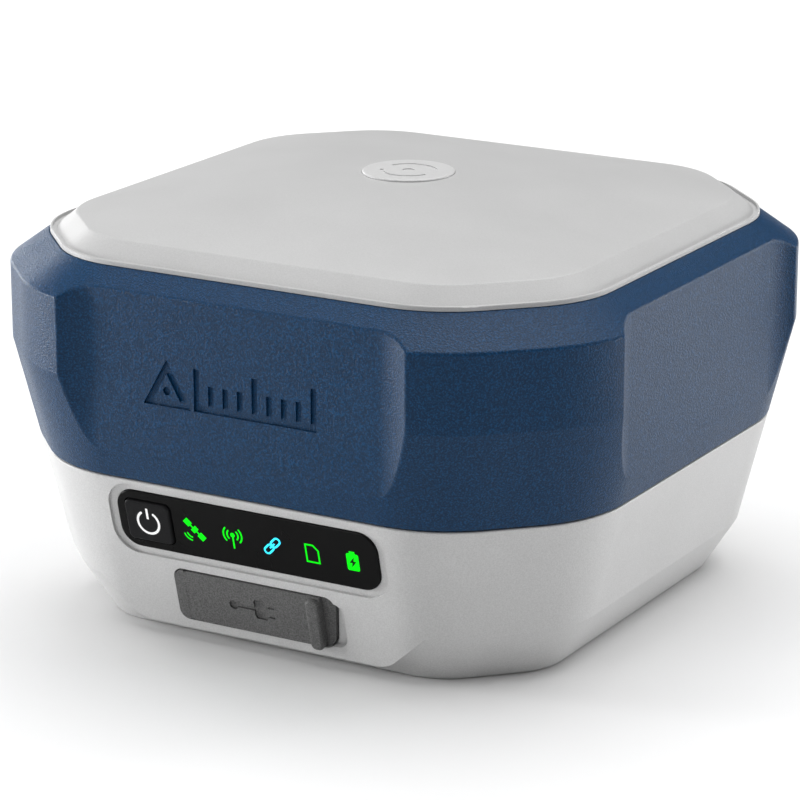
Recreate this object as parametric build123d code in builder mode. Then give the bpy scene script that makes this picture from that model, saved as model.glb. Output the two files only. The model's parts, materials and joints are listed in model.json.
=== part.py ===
from build123d import *
from math import asin, atan, cos, degrees, radians, sin, sqrt, tan
import os

# Survey receiver for satellite positioning: a light lower housing, a navy bumper shell and a
# pale antenna cover, stacked on a pole thread. Millimetres, +Z up, origin at the centre of
# the base, the status panel faces -Y.

os.makedirs("parts", exist_ok=True)

# Heights of the housing's edges above the base
BEVEL_TOP = 10.3
PARTING = 32.8
TAPER_TOP = 52.2
SHOULDER = 67.2
COVER_SEAT = 72.6
CROWN_EDGE = 76.3
CROWN_TOP = 82.1

# Plan outline of the bumper band: a square whose corners are cut by 45 degree flats and rounded
BAND_SIDE = 66.9
BAND_CORNER = 77.0
BAND_ROUND = 30.0
BASE_SIDE = 50.0
SEAT_SIDE = 59.4
TAPER = 13.9
BEVEL_SIDE = BAND_SIDE - (TAPER_TOP - BEVEL_TOP) * tan(radians(TAPER))
BEVEL_ANGLE = degrees(atan((BEVEL_SIDE - BASE_SIDE) / BEVEL_TOP))
SHOULDER_ANGLE = degrees(atan((BAND_SIDE - SEAT_SIDE) / (COVER_SEAT - SHOULDER)))

# Scoops in the four sides of the bumper
SCOOP_SIDE = 63.5
SCOOP_FLAT = 30.2
CREST_X = 37.3
CREST_SIDE = 66.0

# Walls, rims and gaps
WALL = 2.4
FLOOR = 2.6
RIM = 4.3
RIM_DEPTH = 3.0
HALF_GAP = 0.15
LOWER_TOP = PARTING - HALF_GAP
SHELL_BOTTOM = PARTING + HALF_GAP
OPENING_SIDE = 57.2
OPENING_CORNER = 67.0
OPENING_ROUND = 20.0
LEDGE = 66.0

# Pole thread: 5/8 inch 11 TPI, drawn at its minor diameter
THREAD_R = 6.75
INSERT_R = 10.0
INSERT_LOW = 0.4
INSERT_TOP = 16.8
BOSS_R = 13.0

# Screws
CORNER_SCREW = 55.5
M3_R = 1.5
M2_R = 1.0

# Sloping front face: u runs to the right, v up the slope, depth is measured along the normal
FRONT = Plane(
    origin=(0, -(BAND_SIDE - TAPER_TOP * tan(radians(TAPER))), 0),
    x_dir=(1, 0, 0),
    z_dir=(0, -cos(radians(TAPER)), -sin(radians(TAPER))),
)
OUTWARD = Axis(FRONT.origin, FRONT.z_dir)
PANEL_V = 25.15
WINDOW_SIZE = (56.6, 12.1)
WINDOW_ROUND = 3.9
WINDOW_FACE = -0.15
WINDOW_BACK = -1.8
SEAT_DEPTH = -2.0
KEY_U = -21.3
KEY_SIZE = (10.0, 8.5)
KEY_ROUND = 1.2
KEY_PROUD = 0.4
ICON_V = 24.9
ICON_U = (-11.6, -2.9, 5.65, 14.3, 22.9)
ICON_DEPTH = 0.3
PAD_DEPTH = -4.2
BOARD_V = 24.2
BOARD_GRID = (62.0, 8.2)

# Port cover and the socket behind it
PORT_V = 10.2
PORT_HEIGHT = 10.8
PORT_LEFT = -17.6
PORT_RIGHT = 17.6
PORT_LEAN = 1.5
PORT_ROUND = 2.0
PORT_PROUD = 0.3
PORT_THICK = 2.0
HINGE_U = -15.0
HINGE_GAP = 0.3
SOCKET_FACE = -4.4

# Electronics stack
CHASSIS_Z = 29.0
MAIN_BOARD_Z = 36.0
BOARD = 1.6
GROUND_Z = 58.0
CELL_R = 9.2
CELL_LENGTH = 65.0
CELL_Z = 14.3
CELL_Y = (23.4, 42.2)


def level(height, normal=1):
    """A horizontal plane at a height, facing up or, with normal -1, down."""
    return Plane(origin=(0, 0, height), x_dir=(1, 0, 0), z_dir=(0, 0, normal))


def outline(plane, side, corner, radius):
    """The housing's plan outline: half width, half width across the corners, corner radius."""
    reach = sqrt(2) * corner - side
    with BuildSketch(plane) as section:
        with BuildLine():
            Polyline(
                (side, reach), (reach, side), (-reach, side), (-side, reach),
                (-side, -reach), (-reach, -side), (reach, -side), (side, -reach),
                close=True,
            )
        make_face()
        fillet(section.vertices(), radius)
    return section.sketch


def inset_band(plane, inset):
    """The bumper band's outline pulled in by a distance."""
    return outline(plane, BAND_SIDE - inset, BAND_CORNER - inset, BAND_ROUND - inset)


def taper_outline(height, inset=0.0):
    """Outline of the sloping side walls at a height, pulled in by inset, facing down."""
    return inset_band(level(height, -1), (TAPER_TOP - height) * tan(radians(TAPER)) + inset)


def front(depth, u=0.0, v=0.0):
    """A plane parallel to the front face, at a depth along its normal, centred at (u, v)."""
    return Plane(
        origin=FRONT.from_local_coords(Vector(u, v, depth)),
        x_dir=FRONT.x_dir,
        z_dir=FRONT.z_dir,
    )


def port_outline(plane, left, gap, rounded):
    """Outline of the port cover up to its leaning free end, grown by a gap."""
    low = PORT_V - PORT_HEIGHT / 2 - gap
    high = PORT_V + PORT_HEIGHT / 2 + gap
    with BuildSketch(plane) as section:
        with BuildLine():
            Polyline(
                (left - gap, low), (PORT_RIGHT - PORT_LEAN + gap, low),
                (PORT_RIGHT + gap, high), (left - gap, high),
                close=True,
            )
        make_face()
        fillet(section.vertices().sort_by(Axis.X)[-rounded:], PORT_ROUND + gap)
    return section.sketch


def crown_section(height, scale, side, corner, radius):
    """Outline of the domed cover at a height: it turns rounder towards the middle."""
    bulge = 1 + (corner / side - 1) * scale
    softness = 0.9 + (radius / side - 0.9) * scale
    reach = side * scale
    return outline(level(height), reach, reach * bulge, reach * softness)


# ---------------------------------------------------------------- casings

# Tongue that carries the front face down over the bevel
with BuildPart() as tongue:
    extrude(taper_outline(BEVEL_TOP + 4.0), amount=BEVEL_TOP + 2.0, taper=TAPER)
    with BuildSketch(front(-8.0)) as tongue_outline:
        with BuildLine():
            Polyline(
                (27.0, 2.7), (38.5, 12.8), (38.5, 15.0), (-38.5, 15.0), (-38.5, 12.8), (-27.0, 2.7),
                close=True,
            )
        make_face()
        fillet(tongue_outline.vertices().group_by(Axis.Y)[0], 6.0)
    extrude(amount=9.0, mode=Mode.INTERSECT)

with BuildPart() as lower_housing:
    extrude(taper_outline(LOWER_TOP), amount=LOWER_TOP - BEVEL_TOP, taper=TAPER)
    extrude(taper_outline(BEVEL_TOP), amount=BEVEL_TOP, taper=BEVEL_ANGLE)
    fillet(lower_housing.edges().filter_by_position(Axis.Z, BEVEL_TOP - 0.1, BEVEL_TOP + 0.1), 1.2)
    fillet(lower_housing.edges().group_by(Axis.Z)[0], 1.2)
    fillet(lower_housing.edges().group_by(Axis.Z)[-1], 0.35)
    add(tongue.part)
    # cavity, with a thicker rim at the top
    extrude(taper_outline(LOWER_TOP, RIM), amount=RIM_DEPTH, taper=TAPER, mode=Mode.SUBTRACT)
    extrude(
        taper_outline(LOWER_TOP - RIM_DEPTH, WALL),
        amount=LOWER_TOP - RIM_DEPTH - BEVEL_TOP,
        taper=TAPER,
        mode=Mode.SUBTRACT,
    )
    extrude(
        taper_outline(BEVEL_TOP, WALL),
        amount=BEVEL_TOP - FLOOR,
        taper=BEVEL_ANGLE,
        mode=Mode.SUBTRACT,
    )
    # gasket groove in the rim
    extrude(taper_outline(LOWER_TOP, 1.6), amount=1.0, taper=TAPER, mode=Mode.SUBTRACT)
    extrude(taper_outline(LOWER_TOP, 3.2), amount=1.0, taper=TAPER)
    extrude(taper_outline(LOWER_TOP, RIM), amount=1.0, taper=TAPER, mode=Mode.SUBTRACT)
    # thickened pad behind the front face, bosses and pillars
    with BuildSketch(front(PAD_DEPTH)):
        with Locations((0, 22.95)):
            Rectangle(66.0, 15.9)
        with Locations((0, 9.25)):
            Rectangle(50.0, 11.6)
    extrude(amount=2.7)
    with BuildSketch(level(FLOOR / 2)):
        Circle(BOSS_R)
    extrude(amount=INSERT_TOP + 2.6 - FLOOR / 2)
    with BuildSketch(level(FLOOR / 2)):
        with PolarLocations(CORNER_SCREW, 4, 45):
            Circle(4.2)
    extrude(amount=LOWER_TOP - FLOOR / 2)
    with BuildSketch(level(FLOOR / 2)):
        with GridLocations(94.0, 28.0, 2, 2):
            Circle(4.0)
    extrude(amount=CHASSIS_Z - FLOOR / 2)
    with BuildSketch(front(-11.0, 0, BOARD_V)):
        with GridLocations(BOARD_GRID[0], BOARD_GRID[1], 2, 2):
            Circle(2.2)
    extrude(amount=11.0 + PAD_DEPTH + 0.5)
    # two legs under the socket board
    with BuildSketch(Plane(origin=front(-16, 0, 7.37).origin, x_dir=(1, 0, 0), z_dir=-FRONT.y_dir)):
        with GridLocations(18.0, 0, 2, 1):
            Circle(2.5)
    extrude(amount=8.9)
    # screw holes from below
    with BuildSketch(level(0)):
        with PolarLocations(CORNER_SCREW, 4, 45):
            Circle(3.0)
    extrude(amount=6.0, mode=Mode.SUBTRACT)
    with BuildSketch(level(0)):
        with PolarLocations(CORNER_SCREW, 4, 45):
            Circle(1.7)
    extrude(amount=LOWER_TOP, mode=Mode.SUBTRACT)
    # seat of the threaded insert, blank plate recess, vent well
    with BuildSketch(level(0)):
        Circle(INSERT_R)
    extrude(amount=INSERT_TOP, mode=Mode.SUBTRACT)
    with BuildSketch(level(0)):
        with Locations((0, 32)):
            RectangleRounded(40.4, 16.4, 2.2)
    extrude(amount=0.6, mode=Mode.SUBTRACT)
    with BuildSketch(level(0)):
        with Locations((-30, 8)):
            Circle(5.1)
    extrude(amount=1.5, mode=Mode.SUBTRACT)
    with BuildSketch(level(0)):
        with Locations((-30, 8)):
            Circle(3.0)
    extrude(amount=FLOOR, mode=Mode.SUBTRACT)
    # screw holes that hold the chassis and the panel board
    with BuildSketch(level(CHASSIS_Z, -1)):
        with GridLocations(94.0, 28.0, 2, 2):
            Circle(M3_R)
    extrude(amount=10.0, mode=Mode.SUBTRACT)
    with BuildSketch(front(-11.0, 0, BOARD_V)):
        with GridLocations(BOARD_GRID[0], BOARD_GRID[1], 2, 2):
            Circle(M2_R)
    extrude(amount=6.0, mode=Mode.SUBTRACT)
    # status window: bezel, seat, light opening and key opening
    with BuildSketch(front(-0.6, 0, PANEL_V)):
        RectangleRounded(60.2, 15.2, 5.3)
    extrude(amount=2.0, mode=Mode.SUBTRACT)
    with BuildSketch(front(SEAT_DEPTH, 0, PANEL_V)):
        RectangleRounded(WINDOW_SIZE[0] + 0.2, WINDOW_SIZE[1] + 0.2, WINDOW_ROUND + 0.1)
    extrude(amount=2.0, mode=Mode.SUBTRACT)
    with BuildSketch(front(PAD_DEPTH, 6.0, PANEL_V)):
        RectangleRounded(41.0, 8.0, 1.0)
    extrude(amount=3.0, mode=Mode.SUBTRACT)
    with BuildSketch(front(PAD_DEPTH, KEY_U, PANEL_V)):
        RectangleRounded(KEY_SIZE[0] + 0.6, KEY_SIZE[1] + 0.6, KEY_ROUND + 0.3)
    extrude(amount=3.0, mode=Mode.SUBTRACT)
    # port recess, finger recess and plug recess
    extrude(port_outline(front(-2.4), PORT_LEFT, 0.25, 4), amount=3.0, mode=Mode.SUBTRACT)
    with BuildSketch(front(-1.3, 15.0, PORT_V - 0.3)):
        RectangleRounded(8.4, 9.6, 2.4)
    extrude(amount=2.0, mode=Mode.SUBTRACT)
    with BuildSketch(front(PAD_DEPTH - 1.0, 0, PORT_V)):
        RectangleRounded(13.4, 7.4, 3.4)
    extrude(amount=4.0, mode=Mode.SUBTRACT)
lower_housing.part.label = "lower_housing"
export_step(lower_housing.part, "parts/lower_housing.step")

ramp_radius = ((CREST_X - SCOOP_FLAT) ** 2 + (CREST_SIDE - SCOOP_SIDE) ** 2) / (
    2 * (CREST_SIDE - SCOOP_SIDE)
)
ramp_angle = degrees(asin((CREST_X - SCOOP_FLAT) / ramp_radius))
run_out = 16.0
with BuildPart() as scoop:
    with BuildSketch(level(20)):
        with BuildLine():
            flat = Line((-SCOOP_FLAT, -SCOOP_SIDE), (SCOOP_FLAT, -SCOOP_SIDE))
            right_ramp = JernArc(flat @ 1, (1, 0), ramp_radius, -ramp_angle)
            left_ramp = JernArc(flat @ 0, (-1, 0), ramp_radius, ramp_angle)
            right_out = Line(right_ramp @ 1, right_ramp @ 1 + right_ramp % 1 * run_out)
            left_out = Line(left_ramp @ 1, left_ramp @ 1 + left_ramp % 1 * run_out)
            Line(right_out @ 1, left_out @ 1)
        make_face()
    extrude(amount=60)

with BuildPart() as mid_shell:
    extrude(inset_band(level(TAPER_TOP), 0), amount=SHOULDER - TAPER_TOP)
    extrude(inset_band(level(TAPER_TOP, -1), 0), amount=TAPER_TOP - SHELL_BOTTOM, taper=TAPER)
    extrude(inset_band(level(SHOULDER), 0), amount=COVER_SEAT - SHOULDER, taper=SHOULDER_ANGLE)
    with PolarLocations(0, 4):
        add(scoop.part, mode=Mode.SUBTRACT)
    inner_edges = mid_shell.edges().filter_by(
        lambda edge: edge.bounding_box().min.Z > SHELL_BOTTOM + 0.1
        and edge.bounding_box().max.Z < COVER_SEAT - 0.1
    )
    fillet(inner_edges, 0.8)
    fillet(mid_shell.edges().group_by(Axis.Z)[0], 0.3)
    # opening for the cover, main cavity below its ledge, and the flange over the gasket
    extrude(
        outline(level(LEDGE), OPENING_SIDE, OPENING_CORNER, OPENING_ROUND),
        amount=COVER_SEAT - LEDGE,
        mode=Mode.SUBTRACT,
    )
    extrude(
        outline(level(SHELL_BOTTOM + RIM_DEPTH), 60.0, 70.2, 23.0),
        amount=LEDGE - SHELL_BOTTOM - RIM_DEPTH,
        mode=Mode.SUBTRACT,
    )
    extrude(taper_outline(SHELL_BOTTOM + RIM_DEPTH, RIM), amount=RIM_DEPTH, mode=Mode.SUBTRACT)
    # corner bosses for the housing screws below and the antenna above
    with BuildSketch(level(SHELL_BOTTOM)):
        with PolarLocations(CORNER_SCREW, 4, 45):
            Circle(5.0)
        with PolarLocations(CORNER_SCREW + 6.5, 4, 45):
            Rectangle(17.0, 4.0)
    extrude(amount=GROUND_Z - SHELL_BOTTOM)
    with BuildSketch(level(SHELL_BOTTOM)):
        with PolarLocations(CORNER_SCREW, 4, 45):
            Circle(M3_R)
    extrude(amount=12.0, mode=Mode.SUBTRACT)
    with BuildSketch(level(GROUND_Z, -1)):
        with PolarLocations(CORNER_SCREW, 4, 45):
            Circle(M3_R)
    extrude(amount=8.0, mode=Mode.SUBTRACT)
    # engraved survey mark on the front: a station triangle and a graduated staff
    panel = Plane(origin=(-1, -SCOOP_SIDE, 52.6), x_dir=(1, 0, 0), z_dir=(0, -1, 0))
    with BuildSketch(panel):
        with Locations((-13.5, -0.8)):
            RegularPolygon(6.0, 3, rotation=90)
            RegularPolygon(3.3, 3, rotation=90, mode=Mode.SUBTRACT)
            Circle(0.8)
        with Locations((5.5, -3.1)):
            Rectangle(26.2, 1.4)
        with Locations((5.5, -0.7)):
            with GridLocations(3.125, 0, 9, 1):
                Rectangle(1.2, 4.2)
        with Locations((5.5, 0.6)):
            with GridLocations(12.5, 0, 3, 1):
                Rectangle(1.2, 7.4)
    extrude(amount=-0.5, mode=Mode.SUBTRACT)
mid_shell.part.label = "mid_shell"
export_step(mid_shell.part, "parts/mid_shell.step")

RIM_SIDE = SEAT_SIDE - 0.3
RIM_CORNER = BAND_CORNER - (BAND_SIDE - SEAT_SIDE) - 0.3
COVER_LOW = COVER_SEAT + 0.1
GROOVE_SIDE = 58.0
CROWN_SIDE = 54.0
CROWN_CORNER = 64.0
CROWN_ROUND = 18.0
CROWN_ANGLE = degrees(atan((GROOVE_SIDE - CROWN_SIDE) / (CROWN_EDGE - COVER_LOW - 0.3)))
DISC_R = 9.0
SKIN = 2.2
with BuildPart() as top_cover:
    # thin rim on the bumper's edge, a groove inside it, then the sloping band
    extrude(outline(level(COVER_LOW), RIM_SIDE, RIM_CORNER, 22.0), amount=0.9)
    fillet(top_cover.edges().group_by(Axis.Z)[-1], 0.25)
    extrude(
        outline(level(COVER_LOW + 0.3), GROOVE_SIDE + 0.7, CROWN_CORNER + 4.7, 21.5),
        amount=1.0,
        mode=Mode.SUBTRACT,
    )
    extrude(
        outline(level(COVER_LOW + 0.3), GROOVE_SIDE, CROWN_CORNER + 4.0, 22.0),
        amount=CROWN_EDGE - COVER_LOW - 0.3,
        taper=CROWN_ANGLE,
    )
    # domed top
    rise = CROWN_TOP - CROWN_EDGE
    crown = []
    for scale in (1.0, 0.8, 0.6, 0.4, 0.18):
        height = CROWN_TOP - rise * scale**2.2
        crown.append(crown_section(height, scale, CROWN_SIDE, CROWN_CORNER, CROWN_ROUND))
    loft(crown)
    fillet(top_cover.edges().filter_by_position(Axis.Z, CROWN_EDGE - 0.05, CROWN_EDGE + 0.05), 0.9)
    with BuildSketch(level(CROWN_TOP - 0.6)):
        Circle(DISC_R + 0.1)
    extrude(amount=2.0, mode=Mode.SUBTRACT)
    # skirt inside the bumper's opening
    extrude(outline(level(LEDGE + 0.5), 56.9, 66.7, 19.7), amount=COVER_LOW + 0.4 - LEDGE - 0.5)
    # hollow inside
    extrude(
        outline(level(LEDGE + 0.5), 54.9, 64.4, 17.5),
        amount=COVER_LOW - LEDGE - 0.5,
        mode=Mode.SUBTRACT,
    )
    extrude(
        outline(level(COVER_LOW), 54.9, 64.4, 17.5),
        amount=SKIN,
        taper=CROWN_ANGLE,
        mode=Mode.SUBTRACT,
    )
    hollow_side = 54.9 - SKIN * tan(radians(CROWN_ANGLE))
    hollow = []
    for scale in (1.0, 0.8, 0.6, 0.4, 0.18):
        height = CROWN_TOP - SKIN - 0.4 - (CROWN_TOP - 0.4 - 2 * SKIN - COVER_LOW) * scale**2.2
        hollow.append(crown_section(height, scale, hollow_side, hollow_side + 9.5, 14.0))
    loft(hollow, mode=Mode.SUBTRACT)
    # gasket groove around the skirt
    extrude(outline(level(68.4), 56.9, 66.7, 19.7), amount=1.6, mode=Mode.SUBTRACT)
    extrude(outline(level(68.4), 56.0, 65.8, 18.8), amount=1.6)
    extrude(outline(level(68.4), 54.9, 64.4, 17.5), amount=1.6, mode=Mode.SUBTRACT)
top_cover.part.label = "top_cover"
export_step(top_cover.part, "parts/top_cover.step")

with BuildSketch() as emblem_mark:
    SlotArc(CenterArc((0, 0), 5.2, 25, 130), 0.7)
    SlotArc(CenterArc((0, 0), 5.2, 205, 130), 0.7)
    Circle(1.2)

with BuildPart() as emblem_disc:
    with BuildSketch(level(CROWN_TOP - 0.6)):
        Circle(DISC_R)
    extrude(amount=0.9)
    fillet(emblem_disc.edges().group_by(Axis.Z)[-1], 0.3)
    with BuildSketch(level(CROWN_TOP + 0.1)):
        add(emblem_mark.sketch)
    extrude(amount=1.0, mode=Mode.SUBTRACT)
emblem_disc.part.label = "emblem_disc"
export_step(emblem_disc.part, "parts/emblem_disc.step")

with BuildPart() as main_gasket:
    gasket_height = SHELL_BOTTOM - LOWER_TOP + 1.0
    extrude(taper_outline(SHELL_BOTTOM, 1.75), amount=gasket_height, taper=TAPER)
    extrude(
        taper_outline(SHELL_BOTTOM, 3.05),
        amount=gasket_height,
        taper=TAPER,
        mode=Mode.SUBTRACT,
    )
main_gasket.part.label = "main_gasket"
export_step(main_gasket.part, "parts/main_gasket.step")

with BuildPart() as cover_gasket:
    extrude(outline(level(68.4), OPENING_SIDE, OPENING_CORNER, OPENING_ROUND), amount=1.6)
    extrude(outline(level(68.4), 56.0, 65.8, 18.8), amount=1.6, mode=Mode.SUBTRACT)
cover_gasket.part.label = "cover_gasket"
export_step(cover_gasket.part, "parts/cover_gasket.step")

# ---------------------------------------------------------------- underside

with BuildPart() as pole_insert:
    with BuildSketch(level(INSERT_LOW)):
        Circle(INSERT_R)
        Circle(THREAD_R, mode=Mode.SUBTRACT)
    extrude(amount=INSERT_TOP - INSERT_LOW)
    chamfer(pole_insert.edges().group_by(Axis.Z)[0].sort_by(SortBy.LENGTH)[0], 0.8)
pole_insert.part.label = "pole_insert"
export_step(pole_insert.part, "parts/pole_insert.step")

with BuildPart() as housing_screws:
    with BuildSketch(level(6.0, -1)):
        with PolarLocations(CORNER_SCREW, 4, 45):
            Circle(2.75)
    extrude(amount=3.0)
    chamfer(housing_screws.edges().group_by(Axis.Z)[0], 0.35)
    with BuildSketch(level(3.0)):
        with PolarLocations(CORNER_SCREW, 4, 45):
            RegularPolygon(1.25, 6, major_radius=False)
    extrude(amount=1.6, mode=Mode.SUBTRACT)
    with BuildSketch(level(6.0)):
        with PolarLocations(CORNER_SCREW, 4, 45):
            Circle(M3_R)
    extrude(amount=38.0)
housing_screws.part.label = "housing_screws"
export_step(housing_screws.part, "parts/housing_screws.step")

with BuildPart() as blank_plate:
    with BuildSketch(level(0.15)):
        with Locations((0, 32)):
            RectangleRounded(40.0, 16.0, 2.0)
    extrude(amount=0.45)
blank_plate.part.label = "blank_plate"
export_step(blank_plate.part, "parts/blank_plate.step")

with BuildPart() as vent_cap:
    with BuildSketch(level(0.3)):
        with Locations((-30, 8)):
            Circle(4.9)
    extrude(amount=1.2)
    with BuildSketch(level(0.3)):
        with Locations((-30, 8)):
            with PolarLocations(2.9, 6):
                SlotOverall(1.8, 0.8)
    extrude(amount=1.2, mode=Mode.SUBTRACT)
vent_cap.part.label = "vent_cap"
export_step(vent_cap.part, "parts/vent_cap.step")

with BuildPart() as vent_membrane:
    with BuildSketch(level(FLOOR)):
        with Locations((-30, 8)):
            Circle(4.4)
    extrude(amount=0.3)
vent_membrane.part.label = "vent_membrane"
export_step(vent_membrane.part, "parts/vent_membrane.step")

# ---------------------------------------------------------------- status window and icons


# Symbols, drawn flat about their own middle
with BuildSketch() as satellite_icon:
    with Locations(Location((0.3, 0.3, 0), (0, 0, -45))):
        Rectangle(1.0, 1.5)
        Rectangle(3.4, 0.35)
        with Locations((1.95, 0), (-1.95, 0)):
            Rectangle(1.5, 1.3)
    SlotArc(CenterArc((-0.3, -0.3), 1.2, 200, 60), 0.32)
    SlotArc(CenterArc((-0.3, -0.3), 1.9, 200, 60), 0.32)

with BuildSketch() as mast_icon:
    with Locations((0, 0.7)):
        Circle(0.5)
    with Locations((0, -0.75)):
        Rectangle(0.36, 2.9)
    for wave in (1.2, 2.0):
        SlotArc(CenterArc((0, 0.7), wave, -42, 84), 0.35)
        SlotArc(CenterArc((0, 0.7), wave, 138, 84), 0.35)

with BuildSketch() as link_icon:
    with Locations(Location((0, 0, 0), (0, 0, 45))):
        with Locations((1.1, 0), (-1.1, 0)):
            SlotOverall(2.7, 1.7)
            SlotOverall(1.9, 0.9, mode=Mode.SUBTRACT)
        Rectangle(1.6, 0.35)

with BuildSketch() as card_icon:
    Polygon((-1.5, -2.0), (1.5, -2.0), (1.5, 0.9), (0.4, 2.0), (-1.5, 2.0), align=None)
    Polygon(
        (-1.15, -1.65), (1.15, -1.65), (1.15, 0.75), (0.25, 1.65), (-1.15, 1.65),
        align=None,
        mode=Mode.SUBTRACT,
    )

with BuildSketch() as battery_icon:
    with Locations((0, -0.15)):
        RectangleRounded(2.6, 3.6, 0.4)
    with Locations((0, 1.85)):
        Rectangle(1.2, 0.6)
    Polygon(
        (0.35, 1.0), (-0.75, -0.35), (-0.1, -0.35), (-0.35, -1.3), (0.75, 0.05), (0.1, 0.05),
        align=None,
        mode=Mode.SUBTRACT,
    )

with BuildSketch() as power_mark:
    SlotArc(CenterArc((0, 0), 2.35, 125, 290), 0.5)
    with Locations((0, 1.9)):
        Rectangle(0.5, 2.3)

ICONS = {
    "icon_satellite": satellite_icon,
    "icon_mast": mast_icon,
    "icon_link": link_icon,
    "icon_card": card_icon,
    "icon_battery": battery_icon,
}

with BuildPart() as status_window:
    with BuildSketch(front(WINDOW_BACK, 0, PANEL_V)):
        RectangleRounded(WINDOW_SIZE[0], WINDOW_SIZE[1], WINDOW_ROUND)
    extrude(amount=WINDOW_FACE - WINDOW_BACK)
    chamfer(status_window.faces().sort_by(OUTWARD)[-1].edges(), 0.12)
    with BuildSketch(front(WINDOW_BACK, KEY_U, PANEL_V)):
        RectangleRounded(KEY_SIZE[0] + 0.5, KEY_SIZE[1] + 0.5, KEY_ROUND + 0.25)
    extrude(amount=3.0, mode=Mode.SUBTRACT)
    for icon_u, drawing in zip(ICON_U, ICONS.values()):
        with BuildSketch(front(WINDOW_FACE - ICON_DEPTH, icon_u, ICON_V)):
            add(drawing.sketch)
        extrude(amount=1.0, mode=Mode.SUBTRACT)
status_window.part.label = "status_window"
export_step(status_window.part, "parts/status_window.step")

for icon_u, (icon_name, drawing) in zip(ICON_U, ICONS.items()):
    with BuildPart() as icon_inlay:
        with BuildSketch(front(WINDOW_FACE - ICON_DEPTH, icon_u, ICON_V)):
            add(drawing.sketch)
        extrude(amount=ICON_DEPTH)
    icon_inlay.part.label = icon_name
    export_step(icon_inlay.part, f"parts/{icon_name}.step")

with BuildPart() as window_seal:
    with BuildSketch(front(SEAT_DEPTH, 0, PANEL_V)):
        RectangleRounded(WINDOW_SIZE[0] - 0.4, WINDOW_SIZE[1] - 0.4, WINDOW_ROUND - 0.2)
        with Locations((6.0, 0)):
            RectangleRounded(41.6, 8.6, 1.2, mode=Mode.SUBTRACT)
        with Locations((KEY_U, 0)):
            RectangleRounded(KEY_SIZE[0] + 0.8, KEY_SIZE[1] + 0.8, KEY_ROUND, mode=Mode.SUBTRACT)
    extrude(amount=WINDOW_BACK - SEAT_DEPTH)
window_seal.part.label = "window_seal"
export_step(window_seal.part, "parts/window_seal.step")

# ---------------------------------------------------------------- power key and its switch

KEY_FLANGE = -5.2
PLUNGER_TIP = -6.65
SWITCH_FACE = -7.5
PANEL_BOARD = -12.6
with BuildPart() as power_button:
    with BuildSketch(front(KEY_FLANGE, KEY_U, PANEL_V)):
        RectangleRounded(12.4, 10.8, 1.4)
    extrude(amount=0.8)
    with BuildSketch(front(KEY_FLANGE + 0.8, KEY_U, PANEL_V)):
        RectangleRounded(KEY_SIZE[0], KEY_SIZE[1], KEY_ROUND)
    extrude(amount=KEY_PROUD - KEY_FLANGE - 0.8)
    fillet(power_button.faces().sort_by(OUTWARD)[-1].edges(), 0.45)
    with BuildSketch(front(KEY_FLANGE, KEY_U, PANEL_V)):
        Circle(1.5)
    extrude(amount=-1.4)
    with BuildSketch(front(KEY_PROUD - 0.3, KEY_U, PANEL_V)):
        add(power_mark.sketch)
    extrude(amount=1.0, mode=Mode.SUBTRACT)
power_button.part.label = "power_button"
export_step(power_button.part, "parts/power_button.step")

with BuildPart() as power_symbol:
    with BuildSketch(front(KEY_PROUD - 0.3, KEY_U, PANEL_V)):
        add(power_mark.sketch)
    extrude(amount=0.3)
power_symbol.part.label = "power_symbol"
export_step(power_symbol.part, "parts/power_symbol.step")

with BuildPart() as button_seal:
    with BuildSketch(front(PAD_DEPTH, KEY_U, PANEL_V)):
        RectangleRounded(13.6, 12.3, 1.9)
        RectangleRounded(12.6, 11.3, 1.5, mode=Mode.SUBTRACT)
    extrude(amount=-1.2)
button_seal.part.label = "button_seal"
export_step(button_seal.part, "parts/button_seal.step")

with BuildPart() as switch_plunger:
    with BuildSketch(front(PLUNGER_TIP, KEY_U, PANEL_V)):
        Circle(1.2)
    extrude(amount=-2.2)
    fillet(switch_plunger.faces().sort_by(OUTWARD)[-1].edges(), 0.2)
switch_plunger.part.label = "switch_plunger"
export_step(switch_plunger.part, "parts/switch_plunger.step")

with BuildPart() as switch_body:
    with BuildSketch(front(PANEL_BOARD + 1.6, KEY_U, PANEL_V)):
        RectangleRounded(6.0, 6.0, 0.5)
    extrude(amount=SWITCH_FACE - PANEL_BOARD - 1.6)
    with BuildSketch(front(SWITCH_FACE, KEY_U, PANEL_V)):
        Circle(1.25)
    extrude(amount=-2.2, mode=Mode.SUBTRACT)
switch_body.part.label = "switch_body"
export_step(switch_body.part, "parts/switch_body.step")

with BuildPart() as panel_board:
    with BuildSketch(front(PANEL_BOARD, 0, BOARD_V)):
        RectangleRounded(67.0, 12.6, 1.5)
        with GridLocations(BOARD_GRID[0], BOARD_GRID[1], 2, 2):
            Circle(M2_R + 0.1, mode=Mode.SUBTRACT)
    extrude(amount=1.6)
panel_board.part.label = "panel_board"
export_step(panel_board.part, "parts/panel_board.step")

with BuildPart() as panel_screws:
    with BuildSketch(front(PANEL_BOARD, 0, BOARD_V)):
        with GridLocations(BOARD_GRID[0], BOARD_GRID[1], 2, 2):
            Circle(1.9)
    extrude(amount=-1.3)
    with BuildSketch(front(PANEL_BOARD, 0, BOARD_V)):
        with GridLocations(BOARD_GRID[0], BOARD_GRID[1], 2, 2):
            Circle(M2_R)
    extrude(amount=7.0)
panel_screws.part.label = "panel_screws"
export_step(panel_screws.part, "parts/panel_screws.step")

with BuildPart() as status_leds:
    for icon_u in ICON_U:
        with BuildSketch(front(PANEL_BOARD + 1.6, icon_u, ICON_V)):
            Rectangle(1.6, 1.6)
        extrude(amount=0.7)
status_leds.part.label = "status_leds"
export_step(status_leds.part, "parts/status_leds.step")

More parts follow.
